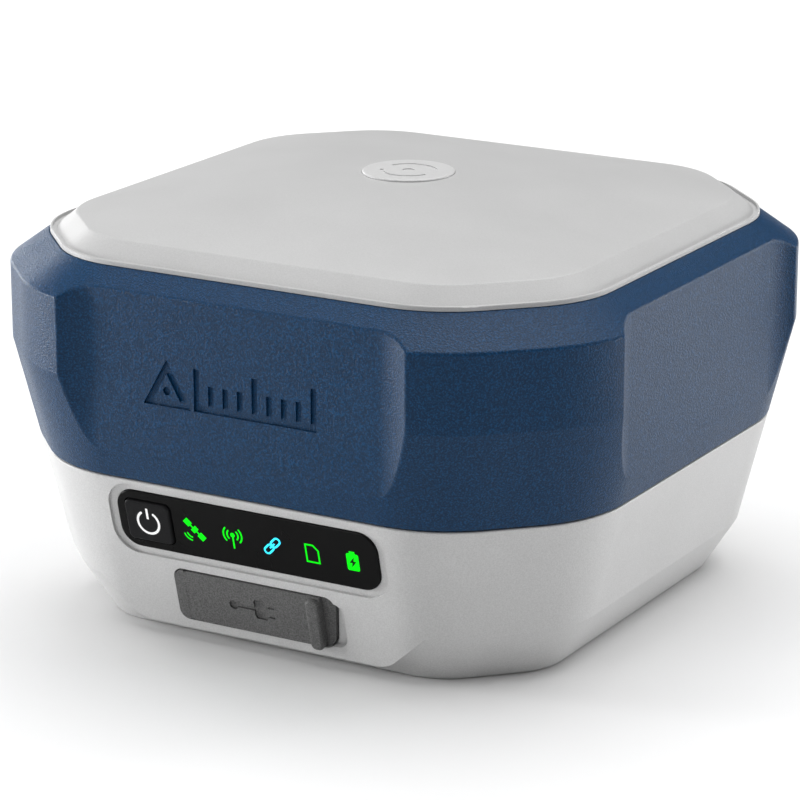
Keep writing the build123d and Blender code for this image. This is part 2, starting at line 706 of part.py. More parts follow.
LIGHT_BLOCK = (-10.0, -2.3)
with BuildPart() as light_divider:
    with BuildSketch(front(LIGHT_BLOCK[0], 6.0, PANEL_V)):
        Rectangle(40.4, 7.4)
    extrude(amount=LIGHT_BLOCK[1] - LIGHT_BLOCK[0])
    for icon_u in ICON_U:
        with BuildSketch(front(LIGHT_BLOCK[0], icon_u, ICON_V)):
            Rectangle(5.8, 5.4)
        extrude(amount=LIGHT_BLOCK[1] - LIGHT_BLOCK[0], mode=Mode.SUBTRACT)
light_divider.part.label = "light_divider"
export_step(light_divider.part, "parts/light_divider.step")

with BuildPart() as light_guides:
    for icon_u in ICON_U:
        with BuildSketch(front(LIGHT_BLOCK[0], icon_u, ICON_V)):
            Rectangle(5.6, 5.2)
        extrude(amount=LIGHT_BLOCK[1] - LIGHT_BLOCK[0])
light_guides.part.label = "light_guides"
export_step(light_guides.part, "parts/light_guides.step")

# ---------------------------------------------------------------- port cover and socket

flap_left = HINGE_U + HINGE_GAP
anchor_right = HINGE_U - HINGE_GAP
with BuildPart() as port_cover:
    extrude(port_outline(front(-PORT_THICK), flap_left, 0, 2), amount=PORT_THICK + PORT_PROUD)
    # finger scoop at the free end and the pull ridge beside it
    with BuildSketch(front(-0.6, 16.3, PORT_V)):
        RectangleRounded(3.8, PORT_HEIGHT + 2, 0.6)
    extrude(amount=2.0, mode=Mode.SUBTRACT)
    with BuildSketch(front(PORT_PROUD, 13.1, PORT_V - 0.4)):
        RectangleRounded(2.7, PORT_HEIGHT, 1.1)
    extrude(amount=1.1)
    fillet(port_cover.faces().sort_by(OUTWARD)[-1].edges(), 0.5)
    # rim that plugs the recess around the socket
    with BuildSketch(front(-PORT_THICK, 0, PORT_V)):
        RectangleRounded(11.6, 6.0, 2.8)
        RectangleRounded(8.6, 3.0, 1.3, mode=Mode.SUBTRACT)
    extrude(amount=-1.8)
    # plug symbol pressed into the face
    with BuildSketch(front(PORT_PROUD, -0.9, PORT_V)):
        with Locations((-1.2, 0)):
            SlotOverall(6.4, 0.8)
        with Locations((-4.0, 0)):
            Circle(1.0)
        with Locations((2.0, 0)):
            RectangleRounded(3.0, 4.2, 0.7)
        with Locations((4.1, 1.05), (4.1, -1.05)):
            Rectangle(1.6, 0.8)
    extrude(amount=-0.4, mode=Mode.SUBTRACT)
port_cover.part.label = "port_cover"
export_step(port_cover.part, "parts/port_cover.step")

with BuildPart() as port_cover_anchor:
    with BuildSketch(front(-2.4, (PORT_LEFT + anchor_right) / 2, PORT_V)) as anchor_outline:
        Rectangle(anchor_right - PORT_LEFT, PORT_HEIGHT)
        fillet(anchor_outline.vertices().group_by(Axis.X)[0], PORT_ROUND)
    extrude(amount=2.4 + PORT_PROUD)
port_cover_anchor.part.label = "port_cover_anchor"
export_step(port_cover_anchor.part, "parts/port_cover_anchor.step")

SOCKET_LENGTH = 7.6
with BuildPart() as socket_shell:
    with BuildSketch(front(SOCKET_FACE, 0, PORT_V)):
        SlotOverall(8.94, 3.26)
    extrude(amount=-SOCKET_LENGTH)
    with BuildSketch(front(SOCKET_FACE, 0, PORT_V)):
        SlotOverall(8.34, 2.66)
    extrude(amount=-SOCKET_LENGTH + 0.6, mode=Mode.SUBTRACT)
socket_shell.part.label = "socket_shell"
export_step(socket_shell.part, "parts/socket_shell.step")

with BuildPart() as socket_tongue:
    with BuildSketch(front(SOCKET_FACE - SOCKET_LENGTH + 0.6, 0, PORT_V)):
        RectangleRounded(6.7, 0.7, 0.2)
    extrude(amount=SOCKET_LENGTH - 1.3)
socket_tongue.part.label = "socket_tongue"
export_step(socket_tongue.part, "parts/socket_tongue.step")

under_socket = Plane(
    origin=front(0, 0, PORT_V - 1.63).origin,
    x_dir=(1, 0, 0),
    z_dir=-FRONT.y_dir,
)
with BuildPart() as socket_board:
    with BuildSketch(under_socket):
        with Locations((0, -14.0)):
            Rectangle(24.0, 16.0)
    extrude(amount=1.2)
socket_board.part.label = "socket_board"
export_step(socket_board.part, "parts/socket_board.step")

# ---------------------------------------------------------------- battery

with BuildPart() as battery_tray:
    with BuildSketch(level(FLOOR + 0.1)):
        with Locations((0, 31.0)):
            Rectangle(66.4, 34.0)
    extrude(amount=6.3)
    for end_x in (-34.0, 34.0):
        with BuildSketch(level(FLOOR + 0.1)):
            with Locations((end_x, 30.0)):
                Rectangle(1.6, 32.0)
        extrude(amount=17.0)
    for cell_y in CELL_Y:
        with BuildSketch(Plane(origin=(-CELL_LENGTH / 2 - 0.7, cell_y, CELL_Z), z_dir=(1, 0, 0))):
            Circle(CELL_R)
        extrude(amount=CELL_LENGTH + 1.4, mode=Mode.SUBTRACT)
battery_tray.part.label = "battery_tray"
export_step(battery_tray.part, "parts/battery_tray.step")

for cell_name, cell_y in zip(("battery_cell_front", "battery_cell_back"), CELL_Y):
    with BuildPart() as battery_cell:
        with BuildSketch(Plane(origin=(-CELL_LENGTH / 2, cell_y, CELL_Z), z_dir=(1, 0, 0))):
            Circle(CELL_R - 0.05)
        extrude(amount=CELL_LENGTH)
        fillet(battery_cell.edges(), 0.8)
    battery_cell.part.label = cell_name
    export_step(battery_cell.part, f"parts/{cell_name}.step")

with BuildPart() as battery_tabs:
    for tab_x in (-CELL_LENGTH / 2 - 0.35, CELL_LENGTH / 2 + 0.35):
        with BuildSketch(Plane(origin=(tab_x - 0.15, 32.8, CELL_Z), x_dir=(0, 1, 0), z_dir=(1, 0, 0))):
            Rectangle(24.0, 6.0)
        extrude(amount=0.3)
battery_tabs.part.label = "battery_tabs"
export_step(battery_tabs.part, "parts/battery_tabs.step")

LEAD_R = 1.1
lead_route = [(36.0, 30, 19.0), (36.0, 26, 23.0), (36.5, 20.5, 28.0), (36.5, 20.5, 33.8)]
with BuildPart() as battery_lead:
    with BuildLine() as lead_line:
        FilletPolyline(*lead_route, radius=3.0)
    with BuildSketch(Plane(origin=lead_line.wire() @ 0, z_dir=lead_line.wire() % 0)):
        Circle(LEAD_R)
    sweep()
battery_lead.part.label = "battery_lead"
export_step(battery_lead.part, "parts/battery_lead.step")

# ---------------------------------------------------------------- chassis and boards

CHASSIS_THICK = 2.0
POST_GRID = (84.0, 52.0)
with BuildPart() as chassis:
    extrude(outline(level(CHASSIS_Z), 51.5, 60.0, 12.0), amount=CHASSIS_THICK)
    with BuildSketch(level(CHASSIS_Z + CHASSIS_THICK)):
        with GridLocations(POST_GRID[0], POST_GRID[1], 2, 2):
            Circle(3.0)
    extrude(amount=MAIN_BOARD_Z - CHASSIS_Z - CHASSIS_THICK)
    with BuildSketch(level(CHASSIS_Z)):
        with Locations((0, -50)):
            Rectangle(110.0, 16.0)
        with Locations((0, -33)):
            SlotOverall(20.0, 6.0)
        with Locations((36.5, 21.5)):
            Circle(4.0)
        with Locations((0, 8)):
            RectangleRounded(56.0, 40.0, 5.0)
        with GridLocations(94.0, 28.0, 2, 2):
            Circle(M3_R + 0.1)
        with GridLocations(POST_GRID[0], POST_GRID[1], 2, 2):
            Circle(1.25)
    extrude(amount=MAIN_BOARD_Z - CHASSIS_Z, mode=Mode.SUBTRACT)
    with BuildSketch(level(CHASSIS_Z)):
        with PolarLocations(CORNER_SCREW, 4, 45):
            Circle(5.6)
    extrude(amount=MAIN_BOARD_Z - CHASSIS_Z, mode=Mode.SUBTRACT)
chassis.part.label = "chassis"
export_step(chassis.part, "parts/chassis.step")

with BuildPart() as chassis_screws:
    with BuildSketch(level(CHASSIS_Z + CHASSIS_THICK)):
        with GridLocations(94.0, 28.0, 2, 2):
            Circle(2.75)
    extrude(amount=1.8)
    with BuildSketch(level(CHASSIS_Z + CHASSIS_THICK, -1)):
        with GridLocations(94.0, 28.0, 2, 2):
            Circle(M3_R)
    extrude(amount=10.0)
chassis_screws.part.label = "chassis_screws"
export_step(chassis_screws.part, "parts/chassis_screws.step")

BOARD_TOP = MAIN_BOARD_Z + BOARD
with BuildPart() as main_board:
    extrude(outline(level(MAIN_BOARD_Z), 49.0, 57.0, 8.0), amount=BOARD)
    with BuildSketch(level(MAIN_BOARD_Z)):
        with Locations((0, -48)):
            Rectangle(110.0, 12.0)
        with GridLocations(POST_GRID[0], POST_GRID[1], 2, 2):
            Circle(1.3)
        with PolarLocations(CORNER_SCREW, 4, 45):
            Circle(5.6)
    extrude(amount=BOARD, mode=Mode.SUBTRACT)
main_board.part.label = "main_board"
export_step(main_board.part, "parts/main_board.step")

with BuildPart() as board_screws:
    with BuildSketch(level(BOARD_TOP)):
        with GridLocations(POST_GRID[0], POST_GRID[1], 2, 2):
            Circle(2.2)
    extrude(amount=1.5)
    with BuildSketch(level(BOARD_TOP, -1)):
        with GridLocations(POST_GRID[0], POST_GRID[1], 2, 2):
            Circle(1.25)
    extrude(amount=6.0)
board_screws.part.label = "board_screws"
export_step(board_screws.part, "parts/board_screws.step")

with BuildPart() as receiver_module:
    with BuildSketch(level(BOARD_TOP + 1.5)):
        with Locations((-12, 8)):
            RectangleRounded(46.0, 36.0, 1.0)
    extrude(amount=1.0)
    with BuildSketch(level(BOARD_TOP)):
        with Locations((-12, 8)):
            with GridLocations(0, 30.0, 1, 2):
                Rectangle(30.0, 3.0)
    extrude(amount=1.5)
receiver_module.part.label = "receiver_module"
export_step(receiver_module.part, "parts/receiver_module.step")

with BuildPart() as receiver_shield:
    with BuildSketch(level(BOARD_TOP + 2.5)):
        with Locations((-12, 8)):
            RectangleRounded(43.0, 33.0, 1.2)
    extrude(amount=3.2)
    fillet(receiver_shield.edges().group_by(Axis.Z)[-1], 0.6)
    with BuildSketch(level(BOARD_TOP + 2.5)):
        with Locations((-12, 8)):
            RectangleRounded(42.4, 32.4, 0.9)
    extrude(amount=2.9, mode=Mode.SUBTRACT)
receiver_shield.part.label = "receiver_shield"
export_step(receiver_shield.part, "parts/receiver_shield.step")

with BuildPart() as modem_shield:
    with BuildSketch(level(BOARD_TOP)):
        with Locations((28, -14)):
            RectangleRounded(26.0, 20.0, 1.0)
    extrude(amount=3.0)
    fillet(modem_shield.edges().group_by(Axis.Z)[-1], 0.6)
modem_shield.part.label = "modem_shield"
export_step(modem_shield.part, "parts/modem_shield.step")

with BuildPart() as tilt_sensor:
    with BuildSketch(level(BOARD_TOP)):
        with Locations((0, -24)):
            RectangleRounded(9.0, 9.0, 0.5)
    extrude(amount=2.2)
tilt_sensor.part.label = "tilt_sensor"
export_step(tilt_sensor.part, "parts/tilt_sensor.step")

with BuildPart() as board_connectors:
    with BuildSketch(level(BOARD_TOP)):
        with Locations((12, -36)):
            Rectangle(12.0, 3.2)
    extrude(amount=2.0)
    with BuildSketch(level(MAIN_BOARD_Z, -1)):
        with Locations((0, 33), (36.5, -20.5)):
            Rectangle(7.0, 5.0)
    extrude(amount=2.2)
board_connectors.part.label = "board_connectors"
export_step(board_connectors.part, "parts/board_connectors.step")

# Flat cables: the panel board folds back onto the main board, the socket board goes up to it
FLEX = 0.2
with BuildPart() as panel_flex:
    with BuildSketch(Plane(origin=(6, 0, 0), x_dir=(0, 1, 0), z_dir=(1, 0, 0))):
        with BuildLine() as flex_line:
            FilletPolyline((-46.5, 27.0), (-44.0, 32.0), (-43.6, 40.6), (-37.6, 40.6), radius=1.8)
        trace(flex_line.line, line_width=FLEX)
    extrude(amount=12.0)
panel_flex.part.label = "panel_flex"
export_step(panel_flex.part, "parts/panel_flex.step")

with BuildPart() as socket_flex:
    with BuildSketch(Plane(origin=(-4, 0, 0), x_dir=(0, 1, 0), z_dir=(1, 0, 0))):
        with BuildLine() as strip_line:
            FilletPolyline((-34.3, 13.4), (-32.6, 18.0), (-32.6, 26.0), (-33.4, 33.8), radius=3.0)
        trace(strip_line.line, line_width=FLEX)
    extrude(amount=8.0)
socket_flex.part.label = "socket_flex"
export_step(socket_flex.part, "parts/socket_flex.step")

# ---------------------------------------------------------------- antenna

GROUND_TOP = GROUND_Z + BOARD
with BuildPart() as ground_plane:
    extrude(outline(level(GROUND_Z), 54.0, 64.0, 16.0), amount=BOARD)
    with BuildSketch(level(GROUND_Z)):
        with PolarLocations(CORNER_SCREW, 4, 45):
            Circle(M3_R + 0.1)
    extrude(amount=BOARD, mode=Mode.SUBTRACT)
ground_plane.part.label = "ground_plane"
export_step(ground_plane.part, "parts/ground_plane.step")

with BuildPart() as antenna_screws:
    with BuildSketch(level(GROUND_TOP)):
        with PolarLocations(CORNER_SCREW, 4, 45):
            Circle(2.75)
    extrude(amount=1.8)
    with BuildSketch(level(GROUND_TOP, -1)):
        with PolarLocations(CORNER_SCREW, 4, 45):
            Circle(M3_R)
    extrude(amount=8.0)
antenna_screws.part.label = "antenna_screws"
export_step(antenna_screws.part, "parts/antenna_screws.step")

STACK = (("lower", 44.0, 5.0), ("upper", 33.0, 4.0))
stack_z = GROUND_TOP
for stack_name, stack_r, stack_height in STACK:
    with BuildPart() as patch_substrate:
        with BuildSketch(level(stack_z)):
            Circle(stack_r)
            with PolarLocations(12.0, 4, 45):
                Circle(0.9, mode=Mode.SUBTRACT)
        extrude(amount=stack_height)
    patch_substrate.part.label = f"patch_substrate_{stack_name}"
    export_step(patch_substrate.part, f"parts/patch_substrate_{stack_name}.step")
    with BuildPart() as patch_plate:
        with BuildSketch(level(stack_z + stack_height)):
            Circle(stack_r - 5.0)
            with PolarLocations(12.0, 4, 45):
                Circle(0.9, mode=Mode.SUBTRACT)
        extrude(amount=0.2)
    patch_plate.part.label = f"patch_plate_{stack_name}"
    export_step(patch_plate.part, f"parts/patch_plate_{stack_name}.step")
    stack_z = stack_z + stack_height + 0.2

with BuildPart() as feed_pins:
    with BuildSketch(level(GROUND_TOP)):
        with PolarLocations(12.0, 4, 45):
            Circle(0.65)
    extrude(amount=stack_z - GROUND_TOP)
feed_pins.part.label = "feed_pins"
export_step(feed_pins.part, "parts/feed_pins.step")

with BuildPart() as amplifier_shield:
    with BuildSketch(level(GROUND_Z, -1)):
        with Locations((4, 6)):
            RectangleRounded(36.0, 28.0, 1.0)
    extrude(amount=3.2)
    fillet(amplifier_shield.edges().group_by(Axis.Z)[0], 0.6)
amplifier_shield.part.label = "amplifier_shield"
export_step(amplifier_shield.part, "parts/amplifier_shield.step")

COAX_R = 0.7
coax_route = [(28.0, -20, 55.4), (28.0, -31, 54.6), (17.0, -35, 50.5), (-4.0, -33, 45.5),
              (-19.0, -30.5, 42.6), (-27.0, -21.5, 43.9), (-25.0, -12.6, 44.5)]
with BuildPart() as coax_lead:
    with BuildLine() as coax_line:
        FilletPolyline(*coax_route, radius=4.0)
    with BuildSketch(Plane(origin=coax_line.wire() @ 0, z_dir=coax_line.wire() % 0)):
        Circle(COAX_R)
    sweep()
coax_lead.part.label = "coax_lead"
export_step(coax_lead.part, "parts/coax_lead.step")

with BuildPart() as coax_plugs:
    with BuildSketch(level(GROUND_Z, -1)):
        with Locations((28, 17)):
            RectangleRounded(4.6, 6.0, 1.0)
    extrude(amount=3.6)
    with BuildSketch(level(BOARD_TOP + 5.7)):
        with Locations((-25, -5.6)):
            RectangleRounded(4.6, 6.0, 1.0)
    extrude(amount=2.6)
coax_plugs.part.label = "coax_plugs"
export_step(coax_plugs.part, "parts/coax_plugs.step")

with BuildPart() as wireless_antenna:
    with BuildSketch(Plane(origin=(59.9, 0, 46), x_dir=(0, 1, 0), z_dir=(-1, 0, 0))):
        RectangleRounded(34.0, 9.0, 1.0)
    extrude(amount=0.4)
wireless_antenna.part.label = "wireless_antenna"
export_step(wireless_antenna.part, "parts/wireless_antenna.step")

for route_name, line in (("battery lead", lead_line), ("antenna coax", coax_line)):
    print(f"{route_name}: {line.wire().length:.1f} mm long")
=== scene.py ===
import json
from math import cos, radians, sin, tau

import bmesh
import bpy
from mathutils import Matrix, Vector


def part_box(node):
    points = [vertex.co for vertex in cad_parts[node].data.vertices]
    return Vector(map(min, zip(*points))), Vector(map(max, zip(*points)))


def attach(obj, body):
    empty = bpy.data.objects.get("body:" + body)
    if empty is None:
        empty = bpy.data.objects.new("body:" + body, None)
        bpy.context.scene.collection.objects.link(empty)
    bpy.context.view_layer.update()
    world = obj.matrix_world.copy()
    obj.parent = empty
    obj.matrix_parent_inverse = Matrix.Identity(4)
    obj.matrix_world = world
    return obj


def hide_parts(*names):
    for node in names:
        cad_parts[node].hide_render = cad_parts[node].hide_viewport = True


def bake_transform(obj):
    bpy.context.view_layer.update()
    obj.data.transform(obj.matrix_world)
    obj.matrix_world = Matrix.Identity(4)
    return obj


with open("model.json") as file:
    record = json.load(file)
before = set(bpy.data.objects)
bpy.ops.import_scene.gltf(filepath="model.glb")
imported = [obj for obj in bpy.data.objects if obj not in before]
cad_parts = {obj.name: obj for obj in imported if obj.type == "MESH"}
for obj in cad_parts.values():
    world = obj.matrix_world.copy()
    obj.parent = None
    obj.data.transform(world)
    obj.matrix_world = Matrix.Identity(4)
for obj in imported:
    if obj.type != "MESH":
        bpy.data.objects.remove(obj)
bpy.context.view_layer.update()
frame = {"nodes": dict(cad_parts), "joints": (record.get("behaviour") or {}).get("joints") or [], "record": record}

# A square survey receiver: grey housing, navy bumper, pale antenna cover. Metres, +Z up,
# the status panel faces -Y.

MM = 0.001
scene = bpy.context.scene

# The sloping front face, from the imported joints
JOINTS = {joint["name"]: joint for joint in frame["joints"]}
ACROSS = Vector((1, 0, 0))
OUTWARD = -Vector(JOINTS["power_press"]["axis"]).normalized()
UP_SLOPE = OUTWARD.cross(ACROSS).normalized()
HINGE = Vector(JOINTS["port_flap_hinge"]["pos_m"])


# ------------------------------------------------------------------ node helpers


def new_material(name):
    """A node material: returns it with its nodes, its links and its principled shader."""
    material = bpy.data.materials.new(name)
    material.use_nodes = True
    tree = material.node_tree
    return material, tree.nodes, tree.links, tree.nodes["Principled BSDF"]


def coordinates(nodes, links, stretch=(1, 1, 1)):
    """Object coordinates in metres, stretched along each axis."""
    source = nodes.new("ShaderNodeTexCoord")
    mapping = nodes.new("ShaderNodeMapping")
    mapping.inputs["Scale"].default_value = stretch
    links.new(source.outputs["Object"], mapping.inputs["Vector"])
    return mapping.outputs["Vector"]


def noise(nodes, links, vector, scale, detail=3.0, roughness=0.5):
    """A noise texture's value, scale in repeats per metre."""
    texture = nodes.new("ShaderNodeTexNoise")
    texture.inputs["Scale"].default_value = scale
    texture.inputs["Detail"].default_value = detail
    texture.inputs["Roughness"].default_value = roughness
    links.new(vector, texture.inputs["Vector"])
    return texture.outputs["Fac"]


def ramp(nodes, links, value, stops):
    """A colour ramp with stops of (position, colour)."""
    node = nodes.new("ShaderNodeValToRGB")
    elements = node.color_ramp.elements
    while len(elements) < len(stops):
        elements.new(0.5)
    for element, (position, colour) in zip(elements, stops):
        element.position = position
        element.color = (*colour, 1)
    links.new(value, node.inputs["Fac"])
    return node.outputs["Color"]


def spread(nodes, links, value, low, high):
    """A noise value mapped from its usual range, 0.3 to 0.7, onto low to high."""
    node = nodes.new("ShaderNodeMapRange")
    node.inputs["From Min"].default_value = 0.3
    node.inputs["From Max"].default_value = 0.7
    node.inputs["To Min"].default_value = low
    node.inputs["To Max"].default_value = high
    links.new(value, node.inputs["Value"])
    return node.outputs["Result"]


def multiply(nodes, links, first, second, factor):
    """The first colour multiplied by the second, as far as the factor says."""
    node = nodes.new("ShaderNodeMix")
    node.data_type = "RGBA"
    node.blend_type = "MULTIPLY"
    node.inputs[0].default_value = factor
    links.new(first, node.inputs[6])
    links.new(second, node.inputs[7])
    return node.outputs[2]


def bump(nodes, links, shader, height, strength, distance):
    """Bump the shader's surface by a height value."""
    node = nodes.new("ShaderNodeBump")
    node.inputs["Strength"].default_value = strength
    node.inputs["Distance"].default_value = distance
    links.new(height, node.inputs["Height"])
    links.new(node.outputs["Normal"], shader.inputs["Normal"])


def shade(colour, amount):
    """A colour made lighter or darker."""
    return tuple(min(1.0, channel * amount) for channel in colour)


def grey(level):
    """A neutral colour."""
    return (level, level, level)


# ------------------------------------------------------------------ materials


def moulded(name, colour, grain, depth, contrast, rough, specular=0.5):
    """Moulded plastic or rubber: fine grain in colour, gloss and height, and a soft mottle."""
    material, nodes, links, shader = new_material(name)
    where = coordinates(nodes, links)
    fine = noise(nodes, links, where, grain, 2.0, 0.55)
    broad = noise(nodes, links, where, 45.0)
    flecks = ramp(nodes, links, fine, (
        (0.36, shade(colour, 1 - contrast)),
        (0.5, colour),
        (0.66, shade(colour, 1 + contrast)),
    ))
    mottle = ramp(nodes, links, broad, ((0.3, grey(0.93)), (0.7, grey(1))))
    links.new(multiply(nodes, links, flecks, mottle, 0.8), shader.inputs["Base Color"])
    links.new(spread(nodes, links, fine, rough - 0.06, rough + 0.08), shader.inputs["Roughness"])
    shader.inputs["Specular IOR Level"].default_value = specular
    bump(nodes, links, shader, fine, 0.7, depth)
    return material


def bumper(name, colour):
    """Spark-eroded navy plastic: coarse leathery grain, with its raised tops painted paler as glints of sheen."""
    material, nodes, links, shader = new_material(name)
    where = coordinates(nodes, links)
    coarse = noise(nodes, links, where, 3000.0, 2.0, 0.6)
    broad = noise(nodes, links, where, 38.0, 2.0)
    # The colour follows the grain's height. The lower flecks are the plastic's own grain tone; the paler raised
    # flecks are painted glints of sheen.
    flecks = ramp(nodes, links, coarse, (
        (0.4, shade(colour, 0.75)),
        (0.5, colour),
        (0.58, shade(colour, 1.3)),
        (0.66, shade(colour, 1.9)),
    ))
    mottle = ramp(nodes, links, broad, ((0.3, (0.9, 0.92, 0.95)), (0.7, grey(1))))
    links.new(multiply(nodes, links, flecks, mottle, 0.7), shader.inputs["Base Color"])
    links.new(spread(nodes, links, coarse, 0.44, 0.32), shader.inputs["Roughness"])
    shader.inputs["Specular IOR Level"].default_value = 0.21
    bump(nodes, links, shader, coarse, 0.8, 0.2 * MM)
    return material


def glossy(name, colour, rough, coat):
    """Polished plastic: deep colour, with a faint haze that varies the gloss."""
    material, nodes, links, shader = new_material(name)
    where = coordinates(nodes, links)
    haze = noise(nodes, links, where, 140.0, 4.0)
    tone = ramp(nodes, links, haze, ((0.3, shade(colour, 0.9)), (0.7, shade(colour, 1.1))))
    links.new(tone, shader.inputs["Base Color"])
    links.new(spread(nodes, links, haze, rough, rough + 0.05), shader.inputs["Roughness"])
    shader.inputs["Specular IOR Level"].default_value = 0.08
    shader.inputs["Coat Weight"].default_value = coat
    shader.inputs["Coat Roughness"].default_value = 0.04
    return material


def glowing(name, colour, strength):
    """A symbol lit from behind: its colour glows, a little unevenly."""
    material, nodes, links, shader = new_material(name)
    where = coordinates(nodes, links)
    cloud = noise(nodes, links, where, 700.0, 2.0)
    tone = ramp(nodes, links, cloud, ((0.3, shade(colour, 0.92)), (0.7, colour)))
    links.new(tone, shader.inputs["Base Color"])
    links.new(tone, shader.inputs["Emission Color"])
    shader.inputs["Emission Strength"].default_value = strength
    shader.inputs["Specular IOR Level"].default_value = 0.08
    shader.inputs["Roughness"].default_value = 0.35
    return material


def metal(name, colour, rough, stretch=(60, 2400, 2400), depth=0.01 * MM):
    """Machined or brushed metal: fine lines along one axis and a slow change of tone."""
    material, nodes, links, shader = new_material(name)
    lines = noise(nodes, links, coordinates(nodes, links, stretch), 1.0)
    broad = noise(nodes, links, coordinates(nodes, links), 90.0)
    tone = ramp(nodes, links, lines, ((0.3, shade(colour, 0.86)), (0.7, colour)))
    mottle = ramp(nodes, links, broad, ((0.3, grey(0.9)), (0.7, grey(1))))
    links.new(multiply(nodes, links, tone, mottle, 0.7), shader.inputs["Base Color"])
    links.new(spread(nodes, links, lines, rough - 0.06, rough + 0.1), shader.inputs["Roughness"])
    shader.inputs["Metallic"].default_value = 1.0
    bump(nodes, links, shader, lines, 0.4, depth)
    return material


def circuit_board(name, colour):
    """Solder mask over copper: paler traces and pads under green lacquer."""
    material, nodes, links, shader = new_material(name)
    where = coordinates(nodes, links)
    cells = nodes.new("ShaderNodeTexVoronoi")
    cells.feature = "DISTANCE_TO_EDGE"
    cells.inputs["Scale"].default_value = 330.0
    links.new(where, cells.inputs["Vector"])
    traces = ramp(nodes, links, cells.outputs["Distance"], (
        (0.04, shade(colour, 1.9)),
        (0.09, colour),
    ))
    haze = noise(nodes, links, where, 160.0)
    links.new(traces, shader.inputs["Base Color"])
    links.new(spread(nodes, links, haze, 0.25, 0.4), shader.inputs["Roughness"])
    bump(nodes, links, shader, cells.outputs["Distance"], 0.3, 0.03 * MM)
    return material


def banded(name, colour, other, repeats, rough):
    """A surface with soft bands round it, as on wrap, film or jacket."""
    material, nodes, links, shader = new_material(name)
    where = coordinates(nodes, links)
    bands = nodes.new("ShaderNodeTexWave")
    bands.inputs["Scale"].default_value = repeats
    bands.inputs["Distortion"].default_value = 1.2
    links.new(where, bands.inputs["Vector"])
    tone = ramp(nodes, links, bands.outputs["Fac"], ((0.2, colour), (0.8, other)))
    haze = noise(nodes, links, where, 220.0)
    links.new(tone, shader.inputs["Base Color"])
    links.new(spread(nodes, links, haze, rough, rough + 0.12), shader.inputs["Roughness"])
    return material


# Each material slot's maker and the values that it takes after the name, in its own order
FINISHES = {
    "housing_grey": (moulded, grey(0.58), 3600, 0.04 * MM, 0.07, 0.46),
    "bumper_navy": (bumper, (0.0012, 0.031, 0.086)),
    "cover_grey": (moulded, grey(0.47), 3800, 0.03 * MM, 0.05, 0.46),
    "emblem": (moulded, grey(0.6), 2200, 0.02 * MM, 0.03, 0.34),
    "black_rubber": (moulded, grey(0.02), 1800, 0.05 * MM, 0.2, 0.6),
    "port_rubber": (moulded, grey(0.105), 3400, 0.2 * MM, 0.4, 0.6),
    "button_grey": (moulded, (0.009, 0.009, 0.01), 2600, 0.03 * MM, 0.15, 0.42, 0.1),
    "dark_plastic": (moulded, (0.03, 0.03, 0.033), 1600, 0.04 * MM, 0.15, 0.5),
    "connector_white": (moulded, (0.8, 0.79, 0.73), 1900, 0.03 * MM, 0.05, 0.45),
    "ceramic": (moulded, (0.78, 0.74, 0.64), 1300, 0.03 * MM, 0.08, 0.5),
    "membrane": (moulded, grey(0.85), 3200, 0.06 * MM, 0.1, 0.8),
    "window_black": (glossy, grey(0.004), 0.2, 0.0),
    "clear_plastic": (glossy, (0.82, 0.85, 0.86), 0.1, 0.2),
    "led": (glossy, (0.85, 0.8, 0.45), 0.15, 0.4),
    "symbol_white": (glowing, grey(0.9), 0.25),
    "icon_green": (glowing, (0.0, 0.72, 0.004), 0.8),
    "icon_cyan": (glowing, (0.04, 0.72, 0.95), 0.85),
    "brass": (metal, (0.78, 0.57, 0.26), 0.28),
    "steel": (metal, (0.55, 0.55, 0.56), 0.3),
    "tin": (metal, (0.68, 0.68, 0.66), 0.34),
    "plate": (metal, (0.74, 0.74, 0.75), 0.36),
    "chassis_metal": (metal, (0.5, 0.5, 0.51), 0.5, (900, 900, 900), 0.03 * MM),
    "gold_plate": (metal, (0.85, 0.62, 0.25), 0.26),
    "circuit_board": (circuit_board, (0.015, 0.13, 0.05)),
    "cell_wrap": (banded, (0.02, 0.16, 0.42), (0.03, 0.2, 0.5), 60, 0.28),
    "lead_red": (banded, (0.42, 0.02, 0.02), (0.5, 0.03, 0.03), 300, 0.4),
    "lead_black": (banded, (0.015, 0.015, 0.016), (0.025, 0.025, 0.026), 300, 0.42),
    "flex_amber": (banded, (0.5, 0.22, 0.03), (0.58, 0.28, 0.05), 160, 0.3),
}
MATERIALS = {slot: maker(slot, *values) for slot, (maker, *values) in FINISHES.items()}


def paint(piece, slot):
    """Give every material slot of a piece the material of that name."""
    if not piece.data.materials:
        piece.data.materials.append(MATERIALS[slot])
    for material_slot in piece.material_slots:
        material_slot.material = MATERIALS[slot]


for part in frame["record"]["subparts"]:
    paint(frame["nodes"][part["node"]], part["material_slot"])


def make_piece(name, mesh, slot):
    """A new object from a bmesh, painted and with its slot named."""
    bmesh.ops.recalc_face_normals(mesh, faces=mesh.faces)
    data = bpy.data.meshes.new(name)
    mesh.to_mesh(data)
    mesh.free()
    piece = bpy.data.objects.new(name, data)
    scene.collection.objects.link(piece)
    paint(piece, slot)
    return piece


# ------------------------------------------------------------------ camera and light

CAMERA_PLACE = Vector((0.3293, -0.5714, 0.2344))
CAMERA_DIRECTION = Vector((-0.48082, 0.82892, -0.28584))

camera_data = bpy.data.cameras.new("camera")
camera_data.sensor_width = 36.0
camera_data.lens = 156.8
camera_data.shift_x = 0.0013
camera_data.shift_y = -0.0116
camera_data.clip_start = 0.05
camera = bpy.data.objects.new("camera", camera_data)
camera.location = CAMERA_PLACE
camera.rotation_euler = CAMERA_DIRECTION.to_track_quat("-Z", "Y").to_euler()
scene.collection.objects.link(camera)
scene.camera = camera

scene.view_settings.view_transform = "Standard"
scene.view_settings.look = "None"

